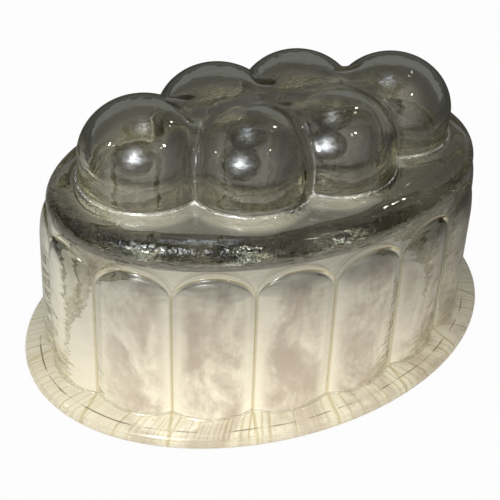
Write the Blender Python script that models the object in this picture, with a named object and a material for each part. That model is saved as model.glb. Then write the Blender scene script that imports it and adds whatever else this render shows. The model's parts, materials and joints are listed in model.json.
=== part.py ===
# Oval pressed-glass jelly mould, standing upside down on its rim.
# One glass moulding: rim flange, side wall of upright lobes with arched tops, plain belt,
# rounded shoulder, platform and a crown of six domes, with the cavity following them inside.
# Metres, +Z up, X along the oval. The origin is the centre of the rim's underside.

import bmesh
import bpy
import numpy as np

# Rim flange
RIM_LENGTH = 0.1800
RIM_WIDTH = 0.1250
RIM_REACH = 0.0098  # from the foot of the grooves out to the rim's edge
RIM_EDGE_THICKNESS = 0.0050
RIM_ROOT_THICKNESS = 0.0064  # the flange thickens towards the wall
RIM_TOP_RADIUS = 0.0028
RIM_UNDER_RADIUS = 0.0016
FOOT_FILLET = 0.0018  # where the wall stands on the flange

# Side wall
WALL_THICKNESS = 0.0036
WALL_LEAN = 0.092  # inward, per unit of height, so that glass and jelly leave the mould
MOUTH_RADIUS = 0.0012
LOBE_COUNT = 16
LOBE_DEPTH = 0.0027
LOBE_SPRING_HEIGHT = 0.0525  # where the arched tops start
LOBE_ARCH_RISE = 0.0095
LOBE_ROUNDING = 0.0130  # below its arch, a lobe's face curves in to the belt over this height
BELT_HEIGHT = 0.0032  # plain band between the arches and the shoulder

# Shoulder and crown
SHOULDER_RADIUS = 0.0070
PLATFORM_THICKNESS = 0.0082  # thick glass round the domes, over the cavity's ledge
INNER_SHOULDER_RADIUS = 0.0020
DOME_RADIUS = 0.0206
END_DOME_RISE = 0.0185  # from a dome's widest circle to its top
SIDE_DOME_RISE = 0.0179
DOME_DRUM_HEIGHT = 0.0067  # upright part under a dome's widest circle
DOME_DRUM_LEAN = 0.03
END_DOME_X = 0.0434
SIDE_DOME_X = 0.0145
SIDE_DOME_Y = 0.0127
CROWN_FILLET = 0.0022  # between dome and dome, and at their feet

# Glass, clear with a faint straw tint
GLASS_COLOUR = (0.80, 0.79, 0.68, 1)
GLASS_ROUGHNESS = 0.03
GLASS_IOR = 1.52

# Points on the surface
COLUMNS_PER_LOBE = 6
ROUNDING_STEPS = (1.0, 0.5, 0.2, 0.05, 0.0)  # places below the arch, as shares of a lobe's rounding
ROUND_STEPS = 3
OUTER_CROWN_ROWS = 17
INNER_CROWN_ROWS = 11
RAY_COUNT = 160
HALVINGS = 40  # steps that find where a ray meets the crown
CROWN_START = 0.000275  # the crown's first ring stands this high over the platform
OVAL_STEPS = 7200  # for measuring round the oval
WELD_DISTANCE = 0.000002
STEEP_TURN = np.radians(35)
GROOVE_TURN = np.radians(15)

GROOVE_A = RIM_LENGTH / 2 - RIM_REACH
GROOVE_B = RIM_WIDTH / 2 - RIM_REACH
ARCH_TOP = LOBE_SPRING_HEIGHT + LOBE_ARCH_RISE
PLATFORM_HEIGHT = ARCH_TOP + BELT_HEIGHT + SHOULDER_RADIUS
LEDGE_HEIGHT = PLATFORM_HEIGHT - PLATFORM_THICKNESS
DOME_CENTRE_HEIGHT = PLATFORM_HEIGHT + DOME_DRUM_HEIGHT
DOMES = (  # x, y and rise
    (-END_DOME_X, 0.0, END_DOME_RISE),
    (END_DOME_X, 0.0, END_DOME_RISE),
    (-SIDE_DOME_X, -SIDE_DOME_Y, SIDE_DOME_RISE),
    (SIDE_DOME_X, -SIDE_DOME_Y, SIDE_DOME_RISE),
    (-SIDE_DOME_X, SIDE_DOME_Y, SIDE_DOME_RISE),
    (SIDE_DOME_X, SIDE_DOME_Y, SIDE_DOME_RISE),
)


def lobe_columns():
    """Angles that cut the wall's oval into equal lengths, and each one's place across its lobe, -1 to 1."""
    fine = np.linspace(0, 2 * np.pi, OVAL_STEPS + 1)
    step = np.hypot(GROOVE_A * np.diff(np.cos(fine)), GROOVE_B * np.diff(np.sin(fine)))
    length = np.concatenate([[0], np.cumsum(step)])
    count = LOBE_COUNT * COLUMNS_PER_LOBE
    angle = np.interp(np.arange(count) / count * length[-1], length, fine)
    across = (np.arange(count) % COLUMNS_PER_LOBE) / COLUMNS_PER_LOBE * 2 - 1
    return angle, across


ANGLE, ACROSS = lobe_columns()
BULGE = LOBE_DEPTH * (1 - ACROSS**2)  # a lobe stands this far out of the grooves' oval
ARCH = LOBE_ARCH_RISE * np.sqrt(1 - ACROSS**2)  # height of the arched top over its spring


def ring(offset, height):
    """A closed ring of points, offset outward from the leaning grooves' oval, at a height."""
    normal = np.stack([np.cos(ANGLE) / GROOVE_A, np.sin(ANGLE) / GROOVE_B])
    normal /= np.linalg.norm(normal, axis=0)
    x = GROOVE_A * np.cos(ANGLE) + normal[0] * offset
    y = GROOVE_B * np.sin(ANGLE) + normal[1] * offset
    return np.stack([x, y, height + 0 * ANGLE], axis=1)


def wall_ring(offset, height):
    """A ring on the wall, which leans inward with height above the flange."""
    return ring(offset - WALL_LEAN * (height - RIM_ROOT_THICKNESS), height)


def quarter(steps):
    """Sine and cosine of angles from 0 to 90 degrees."""
    turn = np.linspace(0, np.pi / 2, steps + 1)
    return list(zip(np.sin(turn), np.cos(turn)))


def arched_wall_rings(inset):
    """Rings up the lobes to the arches' edge, where each lobe has curved in to the belt."""
    rings = []
    for share in ROUNDING_STEPS:
        height = LOBE_SPRING_HEIGHT - inset + ARCH - share * LOBE_ROUNDING
        rings.append(wall_ring(BULGE * np.sqrt(1 - (1 - share) ** 2) - inset, height))
    return rings


def shoulder_rings(inset, top, radius):
    """The belt's top edge and the round shoulder, up to the platform or, inside, to the ledge under it."""
    rings = []
    foot = top - radius
    edge = -inset - WALL_LEAN * (foot - RIM_ROOT_THICKNESS)
    for sine, cosine in quarter(ROUND_STEPS):
        rings.append(ring(edge - radius * (1 - cosine), foot + radius * sine))
    return rings


def crown_field(point, inset, floor):
    """Below zero inside the crown: the floor and six domes on drums, joined with round fillets."""
    x, y, z = point[..., 0], point[..., 1], point[..., 2]
    radius = DOME_RADIUS - inset
    over = np.maximum(z - DOME_CENTRE_HEIGHT, 0)
    under = np.maximum(DOME_CENTRE_HEIGHT - z, 0)
    heights = [z - floor]
    for place_x, place_y, rise in DOMES:
        up = over * radius / (rise - inset)
        reach = np.sqrt((x - place_x) ** 2 + (y - place_y) ** 2 + up**2)
        heights.append(reach - radius - DOME_DRUM_LEAN * under)
    fillet = CROWN_FILLET + inset
    depth = np.maximum(fillet - np.array(heights), 0)
    return fillet - np.sqrt((depth**2).sum(axis=0))


def crown_rings(inset, edge, rows):
    """Rings from the domes' feet to the ridge line, evenly spaced along each column's profile.

    Each column's rays fan out from a point on a line between the end domes' axes, from level to upright.
    The edge is the ring round the platform or the ledge, which sets the floor.
    """
    start = np.stack([END_DOME_X * np.cos(ANGLE), 0 * ANGLE], axis=1)
    outward = edge[:, :2] - start
    outward /= np.linalg.norm(outward, axis=1)[:, None]
    floor = edge[0, 2]
    source_height = floor - DOME_DRUM_HEIGHT
    tilt = np.linspace(0, np.pi / 2, RAY_COUNT)[:, None]
    ray = np.concatenate(
        [
            outward[None] * np.cos(tilt)[..., None],
            np.broadcast_to(np.sin(tilt)[..., None], (RAY_COUNT, len(ANGLE), 1)),
        ],
        axis=2,
    )
    source = np.concatenate([start, np.full((len(ANGLE), 1), source_height)], axis=1)
    near = np.zeros((RAY_COUNT, len(ANGLE)))
    far = np.full((RAY_COUNT, len(ANGLE)), RIM_LENGTH)
    for _ in range(HALVINGS):
        middle = (near + far) / 2
        inside = crown_field(source + ray * middle[..., None], inset, floor) < 0
        near = np.where(inside, middle, near)
        far = np.where(inside, far, middle)
    surface = source + ray * near[..., None]
    shares = np.linspace(0, 1, rows)
    rings = np.empty((rows, len(ANGLE), 3))
    for column in range(len(ANGLE)):
        profile = surface[:, column]
        first = np.argmax(profile[:, 2] > floor + CROWN_START)
        profile = profile[first:]
        length = np.concatenate([[0], np.cumsum(np.linalg.norm(np.diff(profile, axis=0), axis=1))])
        for axis in range(3):
            rings[:, column, axis] = np.interp(shares * length[-1], length, profile[:, axis])
    return list(rings)


def mouth_rings():
    """The rounded inner edge of the rim, from the cavity's wall to the flat underside."""
    rings = []
    for sine, cosine in quarter(ROUND_STEPS):
        offset = BULGE - WALL_THICKNESS + MOUTH_RADIUS * (1 - cosine)
        rings.append(ring(offset, MOUTH_RADIUS * (1 - sine)))
    return rings


def flange_rings():
    """The rim flange: rounded edge from the flat underside, top face and the wall's foot fillet."""
    rings = []
    for sine, cosine in quarter(ROUND_STEPS):
        offset = RIM_REACH - RIM_UNDER_RADIUS * (1 - sine)
        rings.append(ring(offset, RIM_UNDER_RADIUS * (1 - cosine)))
    for sine, cosine in quarter(ROUND_STEPS):
        offset = RIM_REACH - RIM_TOP_RADIUS * (1 - cosine)
        rings.append(ring(offset, RIM_EDGE_THICKNESS - RIM_TOP_RADIUS * (1 - sine)))
    for sine, cosine in quarter(ROUND_STEPS - 1):
        offset = BULGE + FOOT_FILLET * (1 - sine)
        rings.append(wall_ring(offset, RIM_ROOT_THICKNESS + FOOT_FILLET * (1 - cosine)))
    return rings


def mould_rings():
    """Every ring in order: down the cavity, across the underside and up the outside to the ridge."""
    ledge = shoulder_rings(WALL_THICKNESS, LEDGE_HEIGHT, INNER_SHOULDER_RADIUS)
    hollow = crown_rings(WALL_THICKNESS, ledge[-1], INNER_CROWN_ROWS)
    cavity = arched_wall_rings(WALL_THICKNESS) + ledge + hollow
    shoulder = shoulder_rings(0, PLATFORM_HEIGHT, SHOULDER_RADIUS)
    crown = crown_rings(0, shoulder[-1], OUTER_CROWN_ROWS)
    outside = arched_wall_rings(0) + shoulder + crown
    return cavity[::-1] + mouth_rings() + flange_rings() + outside


def glass_material():
    material = bpy.data.materials.new("pressed_glass")
    material.use_nodes = True
    shader = material.node_tree.nodes["Principled BSDF"]
    shader.inputs["Base Color"].default_value = GLASS_COLOUR
    shader.inputs["Roughness"].default_value = GLASS_ROUGHNESS
    shader.inputs["Metallic"].default_value = 0
    shader.inputs["IOR"].default_value = GLASS_IOR
    shader.inputs["Transmission Weight"].default_value = 1
    return material


def loft(name, rings):
    """A closed skin over rings of equal count. Its first and last rings fold shut along the ridge line.

    It is shaded smooth, with sharp edges along the grooves and wherever the surface turns steeply.
    """
    mesh = bpy.data.meshes.new(name)
    shape = bmesh.new()
    rows = [[shape.verts.new(point) for point in ring_points] for ring_points in rings]
    for lower, upper in zip(rows, rows[1:]):
        for column in range(len(lower)):
            after = (column + 1) % len(lower)
            face = shape.faces.new((lower[column], lower[after], upper[after], upper[column]))
            face.smooth = True
    for edge in shape.edges:
        edge.smooth = bool(edge.calc_face_angle(0) < STEEP_TURN)
    for lower, upper in zip(rows, rows[1:]):
        for column in range(0, len(lower), COLUMNS_PER_LOBE):
            groove = shape.edges.get((lower[column], upper[column]))
            groove.smooth = bool(groove.calc_face_angle(0) < GROOVE_TURN)
    bmesh.ops.remove_doubles(shape, verts=shape.verts, dist=WELD_DISTANCE)
    shape.to_mesh(mesh)
    shape.free()
    placed = bpy.data.objects.new(name, mesh)
    bpy.context.scene.collection.objects.link(placed)
    return placed


for old in list(bpy.data.objects):
    bpy.data.objects.remove(old, do_unlink=True)
mould = loft("glass_mould", mould_rings())
mould.data.materials.append(glass_material())
print("triangles", sum(len(face.vertices) - 2 for face in mould.data.polygons))
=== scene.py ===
# Oval pressed-glass jelly mould, upside down on its rim, on a plain pale floor in soft studio light.
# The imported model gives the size. The glass surface here is the same moulding at a finer grain.
import bpy
import json
import math
import numpy as np
from mathutils import Matrix, Vector

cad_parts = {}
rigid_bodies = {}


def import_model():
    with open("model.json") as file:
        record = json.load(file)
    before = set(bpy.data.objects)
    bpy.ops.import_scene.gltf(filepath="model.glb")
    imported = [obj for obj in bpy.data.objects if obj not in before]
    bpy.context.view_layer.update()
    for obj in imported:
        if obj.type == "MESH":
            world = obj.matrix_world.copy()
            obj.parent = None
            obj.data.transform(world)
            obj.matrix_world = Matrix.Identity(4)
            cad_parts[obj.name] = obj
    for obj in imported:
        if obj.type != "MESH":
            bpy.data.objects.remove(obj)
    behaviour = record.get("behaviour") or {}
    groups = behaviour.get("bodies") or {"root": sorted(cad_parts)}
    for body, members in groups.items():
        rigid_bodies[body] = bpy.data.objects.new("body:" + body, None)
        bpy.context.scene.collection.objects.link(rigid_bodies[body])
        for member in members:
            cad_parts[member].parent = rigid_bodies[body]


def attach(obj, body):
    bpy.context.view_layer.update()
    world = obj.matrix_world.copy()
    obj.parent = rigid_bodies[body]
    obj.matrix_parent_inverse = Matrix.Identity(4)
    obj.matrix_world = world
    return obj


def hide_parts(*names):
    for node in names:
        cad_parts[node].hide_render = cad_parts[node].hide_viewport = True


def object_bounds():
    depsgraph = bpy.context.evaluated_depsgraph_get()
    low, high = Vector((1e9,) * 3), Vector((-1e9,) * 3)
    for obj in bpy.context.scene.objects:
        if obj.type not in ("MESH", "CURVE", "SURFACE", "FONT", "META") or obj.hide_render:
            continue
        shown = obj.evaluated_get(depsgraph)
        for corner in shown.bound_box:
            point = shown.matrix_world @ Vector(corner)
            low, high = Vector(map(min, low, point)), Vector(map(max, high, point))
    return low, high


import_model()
cadLow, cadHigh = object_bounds()
mm = 0.001
print("frame loaded:", [round((cadHigh[k] - cadLow[k]) / mm, 1) for k in range(3)], "mm")


def linear(hexColour):
    # sRGB hex to linear light
    values = [int(hexColour[k:k + 2], 16) / 255 for k in (1, 3, 5)]
    return [v / 12.92 if v <= 0.04045 else ((v + 0.055) / 1.055) ** 2.4 for v in values] + [1]


# settings that several nodes share
multiply = {"operation": "MULTIPLY"}
multiplyAdd = {"operation": "MULTIPLY_ADD"}
smoothStep = {"interpolation_type": "SMOOTHSTEP"}
colourMix = {"data_type": "RGBA"}


def addNode(tree, kind, settings=None, inputs=None, links=None):
    # one node, its settings, its socket values and what is linked into its sockets:
    # an output, or a node whose first output is meant
    node = tree.nodes.new(kind)
    for key, value in (settings or {}).items():
        setattr(node, key, value)
    for key, value in (inputs or {}).items():
        node.inputs[key].default_value = value
    for key, source in (links or {}).items():
        tree.links.new(getattr(source, "outputs", [source])[0], node.inputs[key])
    return node


# Glass body, in millimetres. The rim's length and width come from the frame.
mould = {
    "rimReach": 9.8,
    "rimEdge": 5.0,
    "rimRoot": 6.4,
    "rimTopRadius": 2.8,
    "rimUnderRadius": 1.6,
    "footFillet": 1.8,
    "wall": 3.6,
    "ceiling": 8.2,  # glass under the platform
    "innerShoulderRadius": 2.0,
    "lean": 0.092,  # inward for each unit of height
    "mouthRadius": 1.2,
    "lobes": 16,
    "lobeDepth": 2.7,
    "springHeight": 52.5,  # where the arches start
    "archRise": 9.5,
    "lobeRounding": 13.0,
    "belt": 3.2,
    "shoulderRadius": 7.0,
    "domeRadius": 20.6,
    "endDomeRise": 18.5,
    "sideDomeRise": 17.9,
    "drumHeight": 6.7,  # short drums carry the domes
    "drumLean": 0.03,
    "endDomeX": 43.4,
    "sideDomeX": 14.5,
    "sideDomeY": 12.7,
    "crownFillet": 2.2,
    "saddleFillet": 7.0,
    "saddleLow": 80.0,  # the fillet starts to widen here and is widest at saddleHigh
    "saddleHigh": 91.0,
    "saddleReach": 13.0,  # it is wide only this near the long axis
    "saddleFade": 7.0,
    "grooveRound": 0.018,  # share of half a lobe over which a groove's bottom is round
    "creaseWidth": 0.4,
    # how finely the surface is divided
    "ovalSteps": 14400,
    "columnsPerLobe": 30,
    "innerLobeRows": (5, 10),  # straight and curved
    "outerLobeRows": (6, 14),
    "innerShoulderRows": 8,
    "outerShoulderRows": 11,
    "innerCrownRows": 50,
    "outerCrownRows": 70,
    "rimUnderRows": 6,
    "rimTopRows": 8,
    "crownFan": (72.0, 46.0),  # half axes of the oval that the crown's rays head for
    "crownRays": 420,
    "crownHalvings": 32,
    "crownStart": 0.03,  # height over the platform where the crown's columns start
    "crownTolerance": 0.1,  # share of the fillet by which a point may miss the crown's surface
    "groundTilt": 0.3,  # least downward part of a normal on the ground underside
}
grooveA = (cadHigh.x - cadLow.x) / mm / 2 - mould["rimReach"]
grooveB = (cadHigh.y - cadLow.y) / mm / 2 - mould["rimReach"]
shoulderFoot = mould["springHeight"] + mould["archRise"] + mould["belt"]
platformHeight = shoulderFoot + mould["shoulderRadius"]
domeCentre = platformHeight + mould["drumHeight"]


def wallColumns():
    # angles round the oval, closer together at the grooves, and each one's place across its lobe, -1 to 1:
    # the oval's length is cut into equal lobes, and each lobe by the sine of even steps
    fine = np.linspace(0, 2 * np.pi, mould["ovalSteps"] + 1)
    step = np.hypot(grooveA * np.diff(np.cos(fine)), grooveB * np.diff(np.sin(fine)))
    length = np.concatenate([[0], np.cumsum(step)])
    count = mould["columnsPerLobe"]
    across = np.sin(np.pi / 2 * (np.arange(count) / count * 2 - 1))
    place = np.arange(mould["lobes"])[:, None] + (across[None] + 1) / 2
    angle = np.interp(place.ravel() / mould["lobes"] * length[-1], length, fine)
    return angle, np.tile(across, mould["lobes"])


# A lobe bulges as a parabola from groove to groove, each groove's bottom a small hyperbola.
# Its arch is half an ellipse.
angle, across = wallColumns()
soft = mould["grooveRound"]
fromGroove = (np.hypot(1 - np.abs(across), soft) - soft) / (math.hypot(1, soft) - soft)
bulge = mould["lobeDepth"] * (1 - (1 - fromGroove) ** 2)
arch = mould["archRise"] * np.sqrt(1 - across**2)


def oval(offset, height):
    # points at an offset outward from the grooves' ellipse and at a height: rows down, columns across
    offset, height = np.broadcast_arrays(offset + 0 * angle, height + 0 * angle)
    normal = np.stack([np.cos(angle) / grooveA, np.sin(angle) / grooveB])
    normal = normal / np.linalg.norm(normal, axis=0)
    x = grooveA * np.cos(angle) + normal[0] * offset
    y = grooveB * np.sin(angle) + normal[1] * offset
    return np.stack([x, y, height], axis=-1)


def wallOval(offset, height):
    # the same on the wall, which leans inward with height
    return oval(offset - mould["lean"] * (height - mould["rimRoot"]), height)


def quarter(count):
    # sine and cosine of even steps from 0 to 90 degrees, as columns
    turn = np.linspace(0, np.pi / 2, count)[:, None]
    return np.sin(turn), np.cos(turn)


def lobeRows(inset, footHeight, straightCount, roundCount):
    # a lobe's face rises straight, then follows a quarter ellipse in to its arch on the belt.
    # One more row close above the arch keeps its crease narrow.
    start = mould["springHeight"] - inset + arch - mould["lobeRounding"]
    share = np.linspace(0, 1, straightCount, endpoint=False)[:, None]
    straight = wallOval(bulge - inset, footHeight + share * (start - footHeight))
    sine, cosine = quarter(roundCount)
    curved = wallOval(bulge * cosine - inset, start + mould["lobeRounding"] * sine)
    edge = wallOval(-inset, start[None] + mould["lobeRounding"] + mould["creaseWidth"])
    return np.concatenate([straight, curved, edge])


def shoulderRows(inset, top, radius, count):
    # a quarter circle from the belt's top edge in to the platform or the cavity's ceiling
    edge = -inset - mould["lean"] * (top - radius - mould["rimRoot"])
    sine, cosine = quarter(count)
    return oval(edge - radius * (1 - cosine), top - radius * (1 - sine))


def filletSize(y, height):
    # small round the domes and wide high up along the crown's middle, where they run together in saddles:
    # both limits are crossed by the smooth step, three squares less two cubes
    up = np.clip((height - mould["saddleLow"]) / (mould["saddleHigh"] - mould["saddleLow"]), 0, 1)
    off = np.clip((mould["saddleReach"] - np.abs(y)) / mould["saddleFade"], 0, 1)
    share = up**2 * (3 - 2 * up) * off**2 * (3 - 2 * off)
    return mould["crownFillet"] + (mould["saddleFillet"] - mould["crownFillet"]) * share


def crownDepths(point, inset, floorHeight):
    # how deep a point lies under the fillet's size, squared: for the platform plane and six domes on drums
    x, y, z = point[..., 0], point[..., 1], point[..., 2]
    radius = mould["domeRadius"] - inset
    fillet = filletSize(y, z + inset) + inset
    over = np.maximum(z - domeCentre, 0)
    under = np.maximum(domeCentre - z, 0)
    depths = [np.maximum(fillet - (z - floorHeight), 0) ** 2]
    end, side = mould["endDomeRise"] - inset, mould["sideDomeRise"] - inset
    domes = [(sign * mould["endDomeX"], 0, end) for sign in (-1, 1)]
    domes += [(u * mould["sideDomeX"], v * mould["sideDomeY"], side) for u in (-1, 1) for v in (-1, 1)]
    for domeX, domeY, rise in domes:
        reach = np.sqrt((x - domeX) ** 2 + (y - domeY) ** 2 + (over * radius / rise) ** 2)
        depths.append(np.maximum(fillet - (reach - radius - mould["drumLean"] * under), 0) ** 2)
    return depths


def crownField(point, inset, floorHeight):
    # below zero inside: the platform and the domes, joined with round fillets by the summed depths' root
    fillet = filletSize(point[..., 1], point[..., 2] + inset) + inset
    return fillet - np.sqrt(sum(crownDepths(point, inset, floorHeight)))


def crownCrease(point):
    # on the outside of the crown, 0 on a plain face, up to a half and more where two forms meet in a fillet:
    # one less the largest depth's share of the sum
    depths = np.array(crownDepths(point, 0, platformHeight))
    total = depths.sum(axis=0)
    fillet = filletSize(point[..., 1], point[..., 2])
    onSurface = np.abs(fillet - np.sqrt(total)) < mould["crownTolerance"] * fillet
    return np.where(onSurface, 1 - depths.max(axis=0) / np.maximum(total, 1e-9), 0)


def crownRows(inset, floorHeight, rows):
    # the field's zero level, found by halving along rays that fan from level to upright
    # out of a line between the end domes' axes, then spaced evenly along each column
    turn = np.arange(len(angle)) / len(angle) * 2 * np.pi
    fanX, fanY = mould["crownFan"]
    edge = np.stack([fanX * np.cos(turn), fanY * np.sin(turn)], axis=1)
    start = np.stack([mould["endDomeX"] * np.cos(turn), 0 * turn], axis=1)
    outward = edge - start
    outward /= np.linalg.norm(outward, axis=1)[:, None]
    tilt = np.linspace(0, np.pi / 2, mould["crownRays"])[:, None]
    level, upright = np.cos(tilt), np.sin(tilt) + 0 * turn
    ray = np.stack([outward[:, 0] * level, outward[:, 1] * level, upright], axis=-1)
    source = np.stack([start[:, 0], start[:, 1], 0 * turn + floorHeight - mould["drumHeight"]], axis=-1)
    near = np.zeros(ray.shape[:2])
    far = near + 2 * grooveA
    for halving in range(mould["crownHalvings"]):
        middle = (near + far) / 2
        inside = crownField(source + ray * middle[..., None], inset, floorHeight) < 0
        near = np.where(inside, middle, near)
        far = np.where(inside, far, middle)
    surface = source + ray * near[..., None]
    shares = np.linspace(0, 1, rows)
    points = np.empty((rows, len(turn), 3))
    for column in range(len(turn)):
        profile = surface[:, column]
        profile = profile[np.argmax(profile[:, 2] > floorHeight + mould["crownStart"]):]
        length = np.concatenate([[0], np.cumsum(np.linalg.norm(np.diff(profile, axis=0), axis=1))])
        for k in range(3):
            points[:, column, k] = np.interp(shares * length[-1], length, profile[:, k])
    return points


def rimRows():
    # mouth edge, flat underside, rounded rim edge, top face and the fillet at the wall's foot,
    # each round a quarter circle
    sine, cosine = quarter(mould["rimUnderRows"])
    mouth = mould["mouthRadius"]
    inner = oval(bulge - mould["wall"] + mouth * (1 - cosine), mouth * (1 - sine))
    under = mould["rimUnderRadius"]
    lower = oval(mould["rimReach"] - under * (1 - sine), under * (1 - cosine))
    sine, cosine = quarter(mould["rimTopRows"])
    top = mould["rimTopRadius"]
    upper = oval(mould["rimReach"] - top * (1 - cosine), mould["rimEdge"] - top * (1 - sine))
    fillet = mould["footFillet"]
    foot = wallOval(bulge + fillet * (1 - sine), mould["rimRoot"] + fillet * (1 - cosine))
    return np.concatenate([inner, lower, upper, foot])


def between(first, last):
    # the row halfway between two rings
    return ((first + last) / 2)[None]


def mouldSurface():
    # one closed sheet: ridge of the cavity's crown, down the cavity, round the rim, up the outside
    wall = mould["wall"]
    ceilingHeight = platformHeight - mould["ceiling"]
    lobes = lobeRows(wall, mould["mouthRadius"], *mould["innerLobeRows"])
    shoulder = shoulderRows(wall, ceilingHeight, mould["innerShoulderRadius"], mould["innerShoulderRows"])
    crown = crownRows(wall, ceilingHeight, mould["innerCrownRows"])
    cavity = np.concatenate([lobes, shoulder, between(shoulder[-1], crown[0]), crown])
    lobes = lobeRows(0, mould["rimRoot"] + mould["footFillet"], *mould["outerLobeRows"])
    shoulder = shoulderRows(0, platformHeight, mould["shoulderRadius"], mould["outerShoulderRows"])
    crown = crownRows(0, platformHeight, mould["outerCrownRows"])
    outside = np.concatenate([lobes[1:], shoulder, between(shoulder[-1], crown[0]), crown])
    return np.concatenate([cavity[:0:-1], rimRows(), outside])


def closedMesh(name, rows):
    # quads between rings. The first and last ring fold shut: column j and its mirror share a point.
    # Each point also keeps how near its column is to a groove, 0 in the middle of a lobe and 1 in the groove,
    # how far below its lobe's arch it lies, in millimetres, and how deep in a crease of the crown.
    count, columns = rows.shape[:2]
    index = np.arange(count * columns).reshape(count, columns)
    mirror = (-np.arange(columns)) % columns
    for end in (0, -1):
        index[end] = np.minimum(index[end], index[end][mirror])
    after = np.roll(index, -1, 1)
    quads = np.stack([index[:-1], after[:-1], after[1:], index[1:]], axis=-1).reshape(-1, 4)
    used, quads = np.unique(quads, return_inverse=True)
    points = rows.reshape(-1, 3)[used]
    mesh = bpy.data.meshes.new(name)
    mesh.from_pydata(points * mm, [], quads.reshape(-1, 4).tolist())
    mesh.polygons.foreach_set("use_smooth", np.ones(len(mesh.polygons), bool))
    marks = {
        "towardsGroove": np.abs(across)[used % columns],
        "belowArch": mould["springHeight"] + arch[used % columns] - points[:, 2],
        "crease": crownCrease(points),
    }
    for key, values in marks.items():
        mesh.attributes.new(key, "FLOAT", "POINT").data.foreach_set("value", values)
    mesh.update()
    piece = bpy.data.objects.new(name, mesh)
    bpy.context.scene.collection.objects.link(piece)
    return piece


# Soda-lime glass, pressed in an iron mould. Its iron gives thick parts a straw-olive tint,
# and the mould leaves a gloss with slow ripples that bend what is seen through it.
# Sizes are in millimetres. A pair is where a pattern starts to show and where it shows in full.
glassLook = {
    "colour": "#fbfbf4",
    "ior": 1.52,
    "absorbColour": "#bab680",
    "absorbDensity": 36,
    "rippleSize": 9.0,
    "rippleHeight": 0.18,
    "rippleSqueeze": (1, 1, 2.2),  # level ripples
    "grainSize": 1.6,
    "grainHeight": 0.012,
    # painted shade: a mauve-grey veil on the lobes stands in for the shaded, caustic-mottled floor seen
    # through them
    "causticShadeColour": "#c2b8b2",
    "causticShadeSize": 14.0,
    "causticShadeSqueeze": (1, 1, 0.45),  # upright swirls
    "causticShadeShift": (20.0, 13.0, 0.0),  # which stretch of the noise falls on the lobes
    "causticShadeShows": (0.49, 0.8),
    "causticShadeSides": (0.92, 0.5),  # of the way from a lobe's middle to its groove
    "causticShadeTop": (1.0, 8.0),  # below the arch
    "causticShadeReach": (78.2, 57.8),  # from the middle, along the oval
    "speckSize": 2.2,
    "speckShare": 0.35,
    # painted edge shade: a thin darker line along each lobe's edges
    "edgeShadeWidth": 0.35,
    "edgeShadeColour": "#cdc4a4",
    "shoulderLow": 64.0,  # the hammered skin lies between these heights
    "shoulderHigh": 72.0,
    "shoulderFade": 1.5,
    "hammerSize": 3.2,
    "hammerHeight": 0.6,
    # painted highlight: frost in the creases round the domes turns the glass white and less clear, standing
    # in for the bright rings at their foot
    "frostHighlightClear": 0.5,  # how clear the full frost still is
    "frostHighlightReach": 20.0,  # up from the platform
    "frostHighlightCrease": (0.3, 0.5),
    "frostHighlightPatches": (0.3, 0.6),
    "frostHighlightRoughness": 0.35,
    "groundColour": "#fffffa",
    "groundRoughness": 0.9,
    "streakColour": "#ddd4ba",
    "streakSize": 1.1,
    "streakShows": (0.5, 0.36),
    # painted contact shadow: a thin dark broken line round the underside
    "seatShadowColour": "#6f664e",
    "seatOffset": 3.75,  # outward from the oval of the grooves
    "seatShadowWidth": 0.4,
    "seatShadowBreak": 9.0,
    "seatShadowShows": (0.4, 0.58),
}


def newMaterial(name):
    material = bpy.data.materials.new(name)
    material.use_nodes = True
    material.node_tree.nodes.clear()
    return material, material.node_tree


def panelEdgeShade(tree, towardsGroove, belowArch):
    # 0 to 1: painted edge shade, a thin darker line along the mould's sharp edge round each lobe, beside the
    #         groove and under the arch
    width = glassLook["edgeShadeWidth"]
    halfLobe = math.pi * (grooveA + grooveB) / 2 / mould["lobes"]
    share = width / halfLobe
    limits = [
        (towardsGroove, 1 - 2 * share, 1 - share),
        (belowArch, 0, width),
        (belowArch, -width, 0),
        (belowArch, 2 * width, width),
    ]
    beside, below, above, near = (
        addNode(tree, "ShaderNodeMapRange", smoothStep,
                {"From Min": start, "From Max": full}, {"Value": value})
        for value, start, full in limits)
    besideGroove = addNode(tree, "ShaderNodeMath", multiply, links={0: beside, 1: below})
    underArch = addNode(tree, "ShaderNodeMath", multiply, links={0: above, 1: near})
    return addNode(tree, "ShaderNodeMath", {"operation": "MAXIMUM"}, links={0: besideGroove, 1: underArch})


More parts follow.
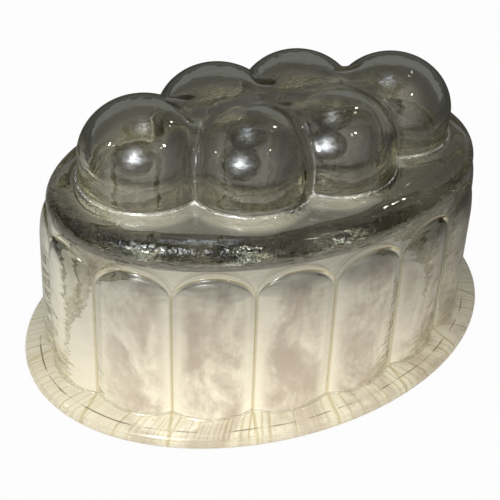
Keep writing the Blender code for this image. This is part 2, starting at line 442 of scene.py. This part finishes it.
def panelCausticShade(tree, place, towardsGroove, belowArch):
    # 0 to 1: painted shade, a mauve-grey veil in the middle of each lobe that stands in for the shaded,
    #         caustic-mottled
    # floor under the mould seen through it; none in the grooves or above the arches and little at the oval's
    # ends, in upright swirls with fine specks
    along = addNode(tree, "ShaderNodeSeparateXYZ", links={0: place})
    along = addNode(tree, "ShaderNodeMath", {"operation": "ABSOLUTE"}, links={0: along})
    shift = [part * mm for part in glassLook["causticShadeShift"]]
    stretched = addNode(tree, "ShaderNodeMapping",
                        inputs={"Location": shift, "Scale": glassLook["causticShadeSqueeze"]},
                        links={"Vector": place})
    cloud = addNode(tree, "ShaderNodeTexNoise",
                    inputs={"Scale": 1 / (glassLook["causticShadeSize"] * mm), "Detail": 4, "Distortion": 1.6},
                    links={"Vector": stretched})
    specks = addNode(tree, "ShaderNodeTexNoise",
                     inputs={"Scale": 1 / (glassLook["speckSize"] * mm), "Detail": 3, "Roughness": 0.7},
                     links={"Vector": stretched})
    both = addNode(tree, "ShaderNodeMath", multiplyAdd, {1: glassLook["speckShare"]}, {0: specks, 2: cloud})
    limits = [
        (towardsGroove, *glassLook["causticShadeSides"]),
        (belowArch, *glassLook["causticShadeTop"]),
        (along, *(reach * mm for reach in glassLook["causticShadeReach"])),
        (both, *glassLook["causticShadeShows"]),
    ]
    causticShade, *fades = (
        addNode(tree, "ShaderNodeMapRange", smoothStep,
                {"From Min": start, "From Max": full}, {"Value": value})
        for value, start, full in limits)
    for fade in fades:
        causticShade = addNode(tree, "ShaderNodeMath", multiply, links={0: causticShade, 1: fade})
    return causticShade


def radialStreaks(tree, place):
    # 0 to 1: noise read by the angle round the oval alone, as a length on its mean radius
    parts = addNode(tree, "ShaderNodeSeparateXYZ", links={0: place}).outputs
    wide = addNode(tree, "ShaderNodeMath", multiply, {1: grooveA / grooveB}, {0: parts[1]})
    turn = addNode(tree, "ShaderNodeMath", {"operation": "ARCTAN2"}, links={0: wide, 1: parts[0]})
    scale = (grooveA + grooveB) / 2 / glassLook["streakSize"]
    streak = addNode(tree, "ShaderNodeTexNoise", {"noise_dimensions": "1D"},
                     {"Scale": scale, "Detail": 4, "Roughness": 0.7}, {"W": turn})
    start, full = glassLook["streakShows"]
    return addNode(tree, "ShaderNodeMapRange", smoothStep, {"From Min": start, "From Max": full},
                   {"Value": streak})


def seatShadowLine(tree, place):
    # 0 to 1: painted contact shadow, a thin broken dark line round the underside where the ground seat ends.
    # It is where the distance in half lengths and half widths of its oval is near one.
    reach = glassLook["seatOffset"]
    scale = (1 / (grooveA + reach) / mm, 1 / (grooveB + reach) / mm, 0)
    spread = addNode(tree, "ShaderNodeVectorMath", multiply, {1: scale}, {0: place})
    share = addNode(tree, "ShaderNodeVectorMath", {"operation": "LENGTH"}, links={0: spread})
    onLine = addNode(tree, "ShaderNodeMath", {"operation": "COMPARE"},
                     {1: 1, 2: glassLook["seatShadowWidth"] / (grooveA + grooveB)}, {0: share.outputs["Value"]})
    breaks = addNode(tree, "ShaderNodeTexNoise", inputs={"Scale": 1 / (glassLook["seatShadowBreak"] * mm)},
                     links={"Vector": place})
    start, full = glassLook["seatShadowShows"]
    shows = addNode(tree, "ShaderNodeMapRange", smoothStep, {"From Min": start, "From Max": full},
                    {"Value": breaks})
    return addNode(tree, "ShaderNodeMath", multiply, links={0: onLine, 1: shows})


def frostHighlightInCreases(tree, height, crease, hammered):
    # 0 to 1: patchy frost in the creases round the domes, strongest at their foot; its white, less clear
    #         glass is a painted highlight standing in for the bright rings there
    foot = platformHeight * mm
    limits = [
        (crease, *glassLook["frostHighlightCrease"]),
        (height, foot + glassLook["frostHighlightReach"] * mm, foot),
        (hammered, *glassLook["frostHighlightPatches"]),
    ]
    inCrease, nearFoot, patchy = (
        addNode(tree, "ShaderNodeMapRange", smoothStep,
                {"From Min": start, "From Max": full}, {"Value": value})
        for value, start, full in limits)
    patches = addNode(tree, "ShaderNodeMath", multiply, links={0: nearFoot, 1: patchy})
    return addNode(tree, "ShaderNodeMath", multiply, links={0: inCrease, 1: patches})


def pressedBump(tree, place, height, hammered):
    # slow level ripples, a fine grain over them, and the shoulder's hammered skin on top
    low, high, fade = (glassLook[key] * mm for key in ("shoulderLow", "shoulderHigh", "shoulderFade"))
    overLow, underHigh = (
        addNode(tree, "ShaderNodeMapRange", smoothStep,
                {"From Min": start, "From Max": full}, {"Value": height})
        for start, full in ((low, low + fade), (high, high - fade)))
    onShoulder = addNode(tree, "ShaderNodeMath", multiply, links={0: overLow, 1: underHigh})
    hammer = addNode(tree, "ShaderNodeMath", multiply, links={0: onShoulder, 1: hammered})
    flattened = addNode(tree, "ShaderNodeMapping", inputs={"Scale": glassLook["rippleSqueeze"]},
                        links={"Vector": place})
    ripple = addNode(tree, "ShaderNodeTexNoise",
                     inputs={"Scale": 1 / (glassLook["rippleSize"] * mm), "Detail": 2},
                     links={"Vector": flattened})
    grain = addNode(tree, "ShaderNodeTexNoise",
                    inputs={"Scale": 1 / (glassLook["grainSize"] * mm), "Detail": 1},
                    links={"Vector": place})
    slow = addNode(tree, "ShaderNodeBump", inputs={"Distance": glassLook["rippleHeight"] * mm},
                   links={"Height": ripple})
    fine = addNode(tree, "ShaderNodeBump", inputs={"Distance": glassLook["grainHeight"] * mm},
                   links={"Height": grain, "Normal": slow})
    return addNode(tree, "ShaderNodeBump", inputs={"Distance": glassLook["hammerHeight"] * mm},
                   links={"Height": hammer, "Normal": fine})


def glassShader(tree, inputs, links):
    # a glass surface over the faintly tinted body
    inputs = {"IOR": glassLook["ior"], "Transmission Weight": 1} | inputs
    shader = addNode(tree, "ShaderNodeBsdfPrincipled", inputs=inputs, links=links)
    tint = {"Color": linear(glassLook["absorbColour"]), "Density": glassLook["absorbDensity"]}
    absorb = addNode(tree, "ShaderNodeVolumeAbsorption", inputs=tint)
    addNode(tree, "ShaderNodeOutputMaterial", links={"Surface": shader, "Volume": absorb})


def pressedGlass():
    # the mould's glossy skin: rippled, with painted caustic shade on the lobes and painted edge shade round
    # them, and frosted with a painted highlight in the creases round the domes
    material, tree = newMaterial("pressedGlass")
    place = addNode(tree, "ShaderNodeTexCoord").outputs["Object"]
    height = addNode(tree, "ShaderNodeSeparateXYZ", links={0: place}).outputs[2]
    towardsGroove, belowArch, crease = (
        addNode(tree, "ShaderNodeAttribute", {"attribute_name": key}).outputs["Fac"]
        for key in ("towardsGroove", "belowArch", "crease"))
    hammered = addNode(tree, "ShaderNodeTexNoise",
                       inputs={"Scale": 1 / (glassLook["hammerSize"] * mm), "Detail": 3, "Roughness": 0.6},
                       links={"Vector": place})
    causticShade = panelCausticShade(tree, place, towardsGroove, belowArch)
    edgeShade = panelEdgeShade(tree, towardsGroove, belowArch)
    frostHighlight = frostHighlightInCreases(tree, height, crease, hammered)
    causticShaded = addNode(tree, "ShaderNodeMix", colourMix,
                   {6: linear(glassLook["colour"]), 7: linear(glassLook["causticShadeColour"])}, {0: causticShade}).outputs[2]
    colour = addNode(tree, "ShaderNodeMix", colourMix, {7: linear(glassLook["edgeShadeColour"])},
                     {0: edgeShade, 6: causticShaded}).outputs[2]
    clear = addNode(tree, "ShaderNodeMath", multiplyAdd, {1: glassLook["frostHighlightClear"] - 1, 2: 1}, {0: frostHighlight})
    rough = addNode(tree, "ShaderNodeMath", multiply, {1: glassLook["frostHighlightRoughness"]}, {0: frostHighlight})
    bump = pressedBump(tree, place, height, hammered)
    glassShader(tree, {}, {"Base Color": colour, "Normal": bump, "Roughness": rough,
                           "Transmission Weight": clear})
    return material


def groundGlass():
    # the rim's underside, ground on a wheel: frosted, which makes the rim look bright, with radial streaks
    # and a painted contact shadow line
    material, tree = newMaterial("groundGlass")
    place = addNode(tree, "ShaderNodeTexCoord").outputs["Object"]
    streaked = addNode(tree, "ShaderNodeMix", colourMix,
                       {6: linear(glassLook["groundColour"]), 7: linear(glassLook["streakColour"])},
                       {0: radialStreaks(tree, place)}).outputs[2]
    colour = addNode(tree, "ShaderNodeMix", colourMix, {7: linear(glassLook["seatShadowColour"])},
                     {0: seatShadowLine(tree, place), 6: streaked}).outputs[2]
    glassShader(tree, {"Roughness": glassLook["groundRoughness"]}, {"Base Color": colour})
    return material


def undersideFaces(mesh):
    # faces that point down at the very bottom take the second material
    normals = np.empty(len(mesh.polygons) * 3)
    centres = np.empty(len(mesh.polygons) * 3)
    mesh.polygons.foreach_get("normal", normals)
    mesh.polygons.foreach_get("center", centres)
    ground = (normals[2::3] < -mould["groundTilt"]) & (centres[2::3] < mould["rimUnderRadius"] * mm)
    mesh.polygons.foreach_set("material_index", ground.astype(int))


glass = closedMesh("mould_glass", mouldSurface())
glass.data.materials.append(pressedGlass())
glass.data.materials.append(groundGlass())
undersideFaces(glass.data)
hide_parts("glass_mould")
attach(glass, "root")
print("glass body:", len(glass.data.polygons) * 2, "triangles")


# Studio: a plain pale floor with a wall of the same far off, a dim room with a soft sky on one side,
# and lamps. The camera sees the pale floor and its wall alone. What the glass bends and mirrors is a pool
# of painted light on the floor beside the mould, glowing of itself, which falls off into the dim room, so
# that the domes look dark against it.
# Lengths are in metres and angles in degrees.
studio = {
    "sides": 96,  # corners of every round disc
    "floorColour": "#fefefe",
    "floorGlow": 0.99,
    "floorSize": 3.0,
    "floorGap": 0.0004,  # below the rim, so that no two faces share a height
    "wallHeight": 2.5,
    "poolGap": 0.0002,
    "poolColour": "#fff6e4",
    "poolTint": 0.3,
    "pool": {"x": -0.095, "y": -0.13, "length": 0.19, "width": 0.105, "glow": 2.52},
    "spill": {"x": -0.155, "y": 0.05, "length": 0.095, "width": 0.11, "glow": 0.75},
    "beyondColour": "#eeece4",
    "beyondGlow": 0.065,
    "skyColour": "#fffdf4",
    "skyGlow": 1.3,
    "skyStart": 0.1,  # cosine of the angle off the sky's middle where the sky starts
    "skyAzimuth": -35,
    "skyElevation": 35,
    "roomColour": "#f4f6f6",
    "roomGlow": 0.19,
    "lampAim": 0.06,
    "lampStreaks": 5,  # in a lamp's radius
    "lampSqueeze": (0.4, 1, 1),
    "lampShows": (0.4, 0.62),
    "bounces": 24,
}
lamps = {
    "window": {"azimuth": -44, "elevation": 40, "distance": 0.9, "radius": 0.60, "strength": 52,
               "falloff": 6.5, "evenness": 0.3, "colour": "#f2f6ff"},
    "pane": {"azimuth": -44, "elevation": 38, "distance": 0.85, "radius": 0.028, "strength": 900,
             "falloff": 1, "evenness": 1, "colour": "#ffffff"},
    "above": {"azimuth": 180, "elevation": 82, "distance": 1.0, "radius": 0.5, "strength": 12,
              "falloff": 5.0, "evenness": 0.1, "colour": "#e6eefc"},
    "right": {"azimuth": 34, "elevation": 55, "distance": 1.0, "radius": 0.03, "strength": 200,
              "falloff": 2, "evenness": 1, "colour": "#fff3e2"},
    "left": {"azimuth": -100, "elevation": 37, "distance": 1.0, "radius": 0.025, "strength": 150,
             "falloff": 2, "evenness": 1, "colour": "#fff3e2"},
    "back": {"azimuth": 112, "elevation": 50, "distance": 1.0, "radius": 0.025, "strength": 150,
             "falloff": 2, "evenness": 1, "colour": "#fff3e2"},
}


def towards(azimuth, elevation):
    # unit vector from the object: azimuth 0 is -Y and turns towards +X
    a, e = math.radians(azimuth), math.radians(elevation)
    return Vector((math.sin(a) * math.cos(e), -math.cos(a) * math.cos(e), math.sin(e)))


def stageDisc(name, radius, material, wall=0):
    # flat disc in the XY plane, its rim from the cosine and sine of even angles, and an upright wall round it
    turn = np.linspace(0, 2 * np.pi, studio["sides"], endpoint=False)
    points = np.stack([radius * np.cos(turn), radius * np.sin(turn), 0 * turn], axis=1)
    faces = [tuple(range(len(turn)))]
    if wall:
        foot = np.arange(len(turn))
        after = np.roll(foot, -1)
        faces += np.stack([foot, after, after + len(turn), foot + len(turn)], axis=1).tolist()
        points = np.concatenate([points, points + (0, 0, wall)])
    mesh = bpy.data.meshes.new(name)
    mesh.from_pydata(points.tolist(), [], faces)
    mesh.materials.append(material)
    disc = bpy.data.objects.new(name, mesh)
    bpy.context.scene.collection.objects.link(disc)
    return disc


def makeFloor():
    # painted board with a wall of the same far off, self-lit so that it stays even
    material, tree = newMaterial("paleFloor")
    glow = addNode(tree, "ShaderNodeEmission",
                   inputs={"Color": linear(studio["floorColour"]), "Strength": studio["floorGlow"]})
    addNode(tree, "ShaderNodeOutputMaterial", links={"Surface": glow})
    floor = stageDisc("floor", studio["floorSize"], material, studio["wallHeight"])
    floor.location.z = cadLow.z - studio["floorGap"]
    floor.visible_transmission = False
    floor.visible_glossy = False
    floor.visible_diffuse = False


def bell(tree, place, look):
    # e to the minus squared distance from its middle, counted in its half length and half width
    scale = (1 / look["length"], 1 / look["width"], 1)
    shift = (-look["x"] * scale[0], -look["y"] * scale[1], 0)
    spread = addNode(tree, "ShaderNodeVectorMath", multiplyAdd, {1: scale, 2: shift}, {0: place})
    square = addNode(tree, "ShaderNodeVectorMath", {"operation": "DOT_PRODUCT"}, links={0: spread, 1: spread})
    return addNode(tree, "ShaderNodeMath", {"operation": "POWER"}, {0: math.exp(-1)},
                   {1: square.outputs["Value"]})


def makePool():
    # painted light: a glowing bright bell standing in for window light, and a wide dim one beside it, over a
    # dim floor
    material, tree = newMaterial("litPool")
    place = addNode(tree, "ShaderNodeTexCoord").outputs["Object"]
    bright, spill = (bell(tree, place, studio[key]) for key in ("pool", "spill"))
    lit = addNode(tree, "ShaderNodeMapRange", smoothStep, {"From Max": studio["poolTint"]}, {"Value": bright})
    colour = addNode(tree, "ShaderNodeMix", colourMix,
                     {6: linear(studio["beyondColour"]), 7: linear(studio["poolColour"])}, {0: lit})
    dim = addNode(tree, "ShaderNodeMath", multiplyAdd,
                  {1: studio["spill"]["glow"], 2: studio["beyondGlow"]}, {0: spill})
    strength = addNode(tree, "ShaderNodeMath", multiplyAdd, {1: studio["pool"]["glow"]}, {0: bright, 2: dim})
    glow = addNode(tree, "ShaderNodeEmission", links={"Color": colour.outputs[2], "Strength": strength})
    addNode(tree, "ShaderNodeOutputMaterial", links={"Surface": glow})
    pool = stageDisc("litPool", studio["floorSize"], material)
    pool.location.z = cadLow.z - studio["poolGap"]
    pool.visible_camera = False


def makeWorld():
    # dim room that brightens to a soft sky round one direction
    world = bpy.data.worlds.new("dimRoom")
    bpy.context.scene.world = world
    world.use_nodes = True
    tree = world.node_tree
    tree.nodes.clear()
    direction = addNode(tree, "ShaderNodeTexCoord").outputs["Generated"]
    sky = towards(studio["skyAzimuth"], studio["skyElevation"])
    facing = addNode(tree, "ShaderNodeVectorMath", {"operation": "DOT_PRODUCT"}, {1: sky}, {0: direction})
    share = addNode(tree, "ShaderNodeMapRange", smoothStep, {"From Min": studio["skyStart"]},
                    {"Value": facing.outputs["Value"]})
    colour = addNode(tree, "ShaderNodeMix", colourMix,
                     {6: linear(studio["roomColour"]), 7: linear(studio["skyColour"])}, {0: share})
    strength = addNode(tree, "ShaderNodeMath", multiplyAdd,
                       {1: studio["skyGlow"] - studio["roomGlow"], 2: studio["roomGlow"]}, {0: share})
    glow = addNode(tree, "ShaderNodeBackground", links={"Color": colour.outputs[2], "Strength": strength})
    addNode(tree, "ShaderNodeOutputWorld", links={"Surface": glow})


def makeLamp(name, look):
    # round lamp facing the object, dimmer outwards: strength times e to the minus falloff times radius share,
    # with its light broken into level streaks down to its evenness
    material, tree = newMaterial(name + "Glow")
    place = addNode(tree, "ShaderNodeTexCoord").outputs["Object"]
    out = addNode(tree, "ShaderNodeVectorMath", {"operation": "LENGTH"}, links={0: place})
    level = addNode(tree, "ShaderNodeMath", {"operation": "POWER"},
                    {0: math.exp(-look["falloff"] / look["radius"])}, {1: out.outputs["Value"]})
    level = addNode(tree, "ShaderNodeMath", multiply, {1: look["strength"]}, {0: level})
    flattened = addNode(tree, "ShaderNodeMapping", inputs={"Scale": studio["lampSqueeze"]},
                        links={"Vector": place})
    scale = studio["lampStreaks"] / look["radius"]
    streaks = addNode(tree, "ShaderNodeTexNoise", inputs={"Scale": scale, "Detail": 3, "Distortion": 0.8},
                      links={"Vector": flattened})
    faint, full = studio["lampShows"]
    broken = addNode(tree, "ShaderNodeMapRange", smoothStep,
                     {"From Min": faint, "From Max": full, "To Min": look["evenness"]}, {"Value": streaks})
    strength = addNode(tree, "ShaderNodeMath", multiply, links={0: level, 1: broken})
    glow = addNode(tree, "ShaderNodeEmission", inputs={"Color": linear(look["colour"])},
                   links={"Strength": strength})
    addNode(tree, "ShaderNodeOutputMaterial", links={"Surface": glow})
    lamp = stageDisc(name, look["radius"], material)
    direction = towards(look["azimuth"], look["elevation"])
    lamp.location = Vector((0, 0, studio["lampAim"])) + direction * look["distance"]
    lamp.rotation_mode = "QUATERNION"
    lamp.rotation_quaternion = (-direction).to_track_quat("Z", "Y")
    lamp.visible_camera = False


makeFloor()
makePool()
makeWorld()
for lampName, lampLook in lamps.items():
    makeLamp(lampName, lampLook)
bpy.context.scene.view_settings.view_transform = "Standard"
paths = bpy.context.scene.cycles  # light crosses many faces of thick glass before it leaves
paths.max_bounces = studio["bounces"]
paths.glossy_bounces = studio["bounces"]
paths.transmission_bounces = studio["bounces"]
print("studio ready")

# Camera at the photograph's viewing angle, matched to the rim, grooves, shoulder and domes.
# Angles are in degrees, lengths in metres and the lens in millimetres.
view = {
    "azimuth": -27.32,
    "elevation": 37.79,
    "distance": 0.26797,
    "nearest": 0.01,
    "lookAtHeight": 0.04502,
    "lens": 54.72,
    "yaw": -1.17,
    "pitch": -2.86,
    "roll": 4.15,
}


def makeCamera():
    # looks at the object's middle from its azimuth and elevation, then yaws, pitches and rolls
    back = towards(view["azimuth"], view["elevation"])
    right = (-back).cross(Vector((0, 0, 1))).normalized()
    up = right.cross(-back)
    yaw, pitch, roll = (math.radians(view[key]) for key in ("yaw", "pitch", "roll"))
    forward = -back * math.cos(yaw) + right * math.sin(yaw)
    right = right * math.cos(yaw) + back * math.sin(yaw)
    forward, up = (forward * math.cos(pitch) + up * math.sin(pitch),
                   up * math.cos(pitch) - forward * math.sin(pitch))
    right, up = (right * math.cos(roll) + up * math.sin(roll),
                 up * math.cos(roll) - right * math.sin(roll))
    data = bpy.data.cameras.new("camera")
    data.lens = view["lens"]
    data.clip_start = view["nearest"]
    camera = bpy.data.objects.new("camera", data)
    bpy.context.scene.collection.objects.link(camera)
    place = Matrix.Translation(Vector((0, 0, view["lookAtHeight"])) + back * view["distance"])
    camera.matrix_world = place @ Matrix((right, up, -forward)).transposed().to_4x4()
    bpy.context.scene.camera = camera


makeCamera()
print("scene ready")
